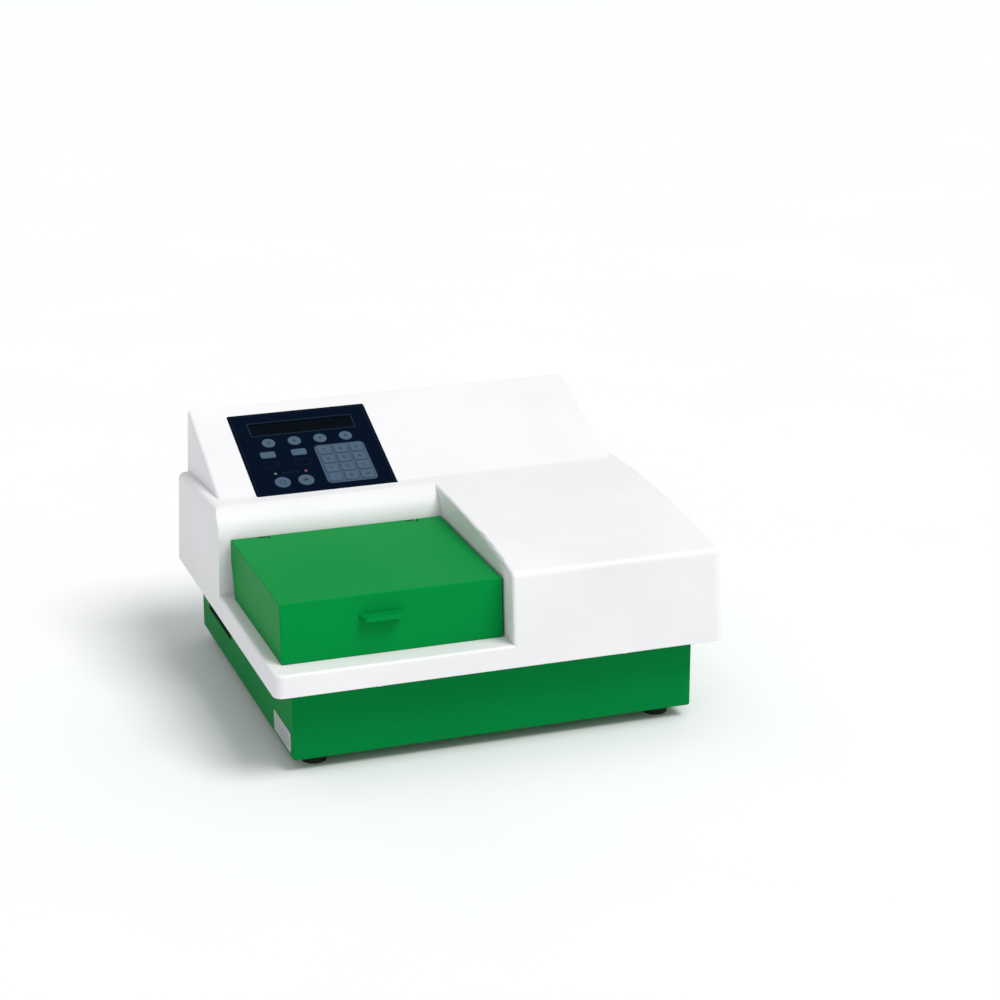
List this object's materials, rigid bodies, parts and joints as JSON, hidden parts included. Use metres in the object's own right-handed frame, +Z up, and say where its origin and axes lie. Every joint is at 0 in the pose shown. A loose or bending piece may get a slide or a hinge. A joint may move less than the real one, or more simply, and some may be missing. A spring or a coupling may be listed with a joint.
{
  "type": "microplate reader",
  "caption": "Bench microplate reader: hinged plate cover over a sliding plate carriage, sloping keypad console, filter optics and electronics inside a shell on a sheet-metal base.",
  "frame": {"origin": "on the bench, under the middle of the case's outline", "axes": "+X to the right across the front, +Y to the back, +Z up"},
  "size_m": [0.44, 0.401, 0.2431],
  "materials": {
    "case_white": "smooth white moulded shell, faint satin",
    "case_green": "satin green powder coat on sheet steel",
    "cover_green": "satin green moulded plastic",
    "panel_navy": "fine matt dark blue membrane",
    "key_light": "soft light blue-grey key caps",
    "display_glass": "smoked display window",
    "steel_zinc": "zinc plated sheet steel",
    "steel_bright": "ground and polished steel",
    "aluminium": "machined aluminium",
    "black_anodised": "black anodised aluminium",
    "black_plastic": "black engineering plastic",
    "foot_rubber": "black moulded rubber",
    "board_green": "solder-masked circuit board",
    "belt_rubber": "black toothed belt",
    "glass_clear": "clear optical glass",
    "filter_glass": "coated interference glass",
    "guide_fibre": "clear plastic light guide",
    "copper_coil": "taped copper winding"
  },
  "bodies": {
    "case": {"base_tray": "case_green", "carriage_motor": "black_anodised", "case_screws": "steel_bright", "chassis_plate": "steel_zinc", "condenser_lens": "glass_clear", "connector_bay": "black_plastic", "control_panel": "panel_navy", "cooling_fan": "black_plastic", "deck_plate": "black_anodised", "detector_board": "board_green", "display_window": "display_glass", "filter_motor": "steel_zinc", "guide_collector": "black_plastic", "guide_rails": "steel_bright", "halogen_lamp": "glass_clear", "hinge_brackets": "steel_zinc", "hinge_pin": "steel_bright", "home_sensor": "black_plastic", "lamp_housing": "aluminium", "light_guides": "guide_fibre", "main_board": "board_green", "optical_head": "black_anodised", "optics_bench": "aluminium", "panel_board": "board_green", "power_entry": "black_plastic", "rail_blocks": "aluminium", "rubber_feet": "foot_rubber", "timing_belt": "belt_rubber", "transformer": "copper_coil", "upper_housing": "case_white"},
    "cover": {"plate_cover": "cover_green"},
    "carriage": {"plate_carriage": "black_anodised", "linear_bushings": "black_plastic", "plate_spring": "steel_bright"},
    "drive_pulley": {"drive_pulley": "aluminium"},
    "idler_pulley": {"idler_pulley": "aluminium"},
    "filter_wheel": {"filter_wheel": "black_anodised", "interference_filters": "filter_glass"},
    "fan_rotor": {"fan_rotor": "black_plastic"},
    "power_rocker": {"power_rocker": "black_plastic"},
    "function_key_1": {"function_key_1": "key_light"},
    "function_key_2": {"function_key_2": "key_light"},
    "function_key_3": {"function_key_3": "key_light"},
    "function_key_4": {"function_key_4": "key_light"},
    "bar_key_left": {"bar_key_left": "key_light"},
    "bar_key_right": {"bar_key_right": "key_light"},
    "main_key_left": {"main_key_left": "key_light"},
    "main_key_right": {"main_key_right": "key_light"},
    "digit_key_7": {"digit_key_7": "key_light"},
    "digit_key_8": {"digit_key_8": "key_light"},
    "digit_key_9": {"digit_key_9": "key_light"},
    "digit_key_4": {"digit_key_4": "key_light"},
    "digit_key_5": {"digit_key_5": "key_light"},
    "digit_key_6": {"digit_key_6": "key_light"},
    "digit_key_1": {"digit_key_1": "key_light"},
    "digit_key_2": {"digit_key_2": "key_light"},
    "digit_key_3": {"digit_key_3": "key_light"},
    "digit_key_point": {"digit_key_point": "key_light"},
    "digit_key_0": {"digit_key_0": "key_light"},
    "digit_key_enter": {"digit_key_enter": "key_light"}
  },
  "joints": [
    {"name": "cover_hinge", "type": "hinge", "parent": "case", "child": "cover", "pos_m": [-0.1003, 0.01047, 0.1619], "axis": [-1, 0, 0], "range_deg": [0, 100]},
    {"name": "carriage_slide", "type": "slide", "parent": "case", "child": "carriage", "axis": [0, 1, 0], "range_m": [0, 0.195]},
    {"name": "drive_pulley_turn", "type": "hinge", "parent": "case", "child": "drive_pulley", "pos_m": [-0.0203, 0.148, 0.09635], "axis": [0, 0, 1], "range_deg": [-1530, 5]},
    {"name": "idler_pulley_turn", "type": "hinge", "parent": "case", "child": "idler_pulley", "pos_m": [-0.0203, -0.152, 0.09635], "axis": [0, 0, 1], "range_deg": [-1530, 5]},
    {"name": "filter_wheel_turn", "type": "hinge", "parent": "case", "child": "filter_wheel", "pos_m": [0.099, 0.0615, 0.1323], "axis": [1, 0, 0], "continuous": true},
    {"name": "fan_turn", "type": "hinge", "parent": "case", "child": "fan_rotor", "pos_m": [0.1313, 0.1862, 0.0438], "axis": [0, 1, 0], "continuous": true},
    {"name": "rocker_tilt", "type": "hinge", "parent": "case", "child": "power_rocker", "pos_m": [-0.1616, 0.1145, 0.0555], "axis": [0, 1, 0], "range_deg": [0, 16]},
    {"name": "function_key_1_press", "type": "slide", "parent": "case", "child": "function_key_1", "axis": [0, 0.3633, -0.9317], "range_m": [0, 0.0005], "stiffness_N_per_m": 300, "springref_m": -0.001},
    {"name": "function_key_2_press", "type": "slide", "parent": "case", "child": "function_key_2", "axis": [0, 0.3633, -0.9317], "range_m": [0, 0.0005], "stiffness_N_per_m": 300, "springref_m": -0.001},
    {"name": "function_key_3_press", "type": "slide", "parent": "case", "child": "function_key_3", "axis": [0, 0.3633, -0.9317], "range_m": [0, 0.0005], "stiffness_N_per_m": 300, "springref_m": -0.001},
    {"name": "function_key_4_press", "type": "slide", "parent": "case", "child": "function_key_4", "axis": [0, 0.3633, -0.9317], "range_m": [0, 0.0005], "stiffness_N_per_m": 300, "springref_m": -0.001},
    {"name": "bar_key_left_press", "type": "slide", "parent": "case", "child": "bar_key_left", "axis": [0, 0.3633, -0.9317], "range_m": [0, 0.0005], "stiffness_N_per_m": 300, "springref_m": -0.001},
    {"name": "bar_key_right_press", "type": "slide", "parent": "case", "child": "bar_key_right", "axis": [0, 0.3633, -0.9317], "range_m": [0, 0.0005], "stiffness_N_per_m": 300, "springref_m": -0.001},
    {"name": "main_key_left_press", "type": "slide", "parent": "case", "child": "main_key_left", "axis": [0, 0.3633, -0.9317], "range_m": [0, 0.0005], "stiffness_N_per_m": 300, "springref_m": -0.001},
    {"name": "main_key_right_press", "type": "slide", "parent": "case", "child": "main_key_right", "axis": [0, 0.3633, -0.9317], "range_m": [0, 0.0005], "stiffness_N_per_m": 300, "springref_m": -0.001},
    {"name": "digit_key_7_press", "type": "slide", "parent": "case", "child": "digit_key_7", "axis": [0, 0.3633, -0.9317], "range_m": [0, 0.0005], "stiffness_N_per_m": 300, "springref_m": -0.001},
    {"name": "digit_key_8_press", "type": "slide", "parent": "case", "child": "digit_key_8", "axis": [0, 0.3633, -0.9317], "range_m": [0, 0.0005], "stiffness_N_per_m": 300, "springref_m": -0.001},
    {"name": "digit_key_9_press", "type": "slide", "parent": "case", "child": "digit_key_9", "axis": [0, 0.3633, -0.9317], "range_m": [0, 0.0005], "stiffness_N_per_m": 300, "springref_m": -0.001},
    {"name": "digit_key_4_press", "type": "slide", "parent": "case", "child": "digit_key_4", "axis": [0, 0.3633, -0.9317], "range_m": [0, 0.0005], "stiffness_N_per_m": 300, "springref_m": -0.001},
    {"name": "digit_key_5_press", "type": "slide", "parent": "case", "child": "digit_key_5", "axis": [0, 0.3633, -0.9317], "range_m": [0, 0.0005], "stiffness_N_per_m": 300, "springref_m": -0.001},
    {"name": "digit_key_6_press", "type": "slide", "parent": "case", "child": "digit_key_6", "axis": [0, 0.3633, -0.9317], "range_m": [0, 0.0005], "stiffness_N_per_m": 300, "springref_m": -0.001},
    {"name": "digit_key_1_press", "type": "slide", "parent": "case", "child": "digit_key_1", "axis": [0, 0.3633, -0.9317], "range_m": [0, 0.0005], "stiffness_N_per_m": 300, "springref_m": -0.001},
    {"name": "digit_key_2_press", "type": "slide", "parent": "case", "child": "digit_key_2", "axis": [0, 0.3633, -0.9317], "range_m": [0, 0.0005], "stiffness_N_per_m": 300, "springref_m": -0.001},
    {"name": "digit_key_3_press", "type": "slide", "parent": "case", "child": "digit_key_3", "axis": [0, 0.3633, -0.9317], "range_m": [0, 0.0005], "stiffness_N_per_m": 300, "springref_m": -0.001},
    {"name": "digit_key_point_press", "type": "slide", "parent": "case", "child": "digit_key_point", "axis": [0, 0.3633, -0.9317], "range_m": [0, 0.0005], "stiffness_N_per_m": 300, "springref_m": -0.001},
    {"name": "digit_key_0_press", "type": "slide", "parent": "case", "child": "digit_key_0", "axis": [0, 0.3633, -0.9317], "range_m": [0, 0.0005], "stiffness_N_per_m": 300, "springref_m": -0.001},
    {"name": "digit_key_enter_press", "type": "slide", "parent": "case", "child": "digit_key_enter", "axis": [0, 0.3633, -0.9317], "range_m": [0, 0.0005], "stiffness_N_per_m": 300, "springref_m": -0.001}
  ],
  "couplings": [
    {"joint": "drive_pulley_turn", "follows": "carriage_slide", "rad_per_m": -130.9},
    {"joint": "idler_pulley_turn", "follows": "carriage_slide", "rad_per_m": -130.9}
  ]
}
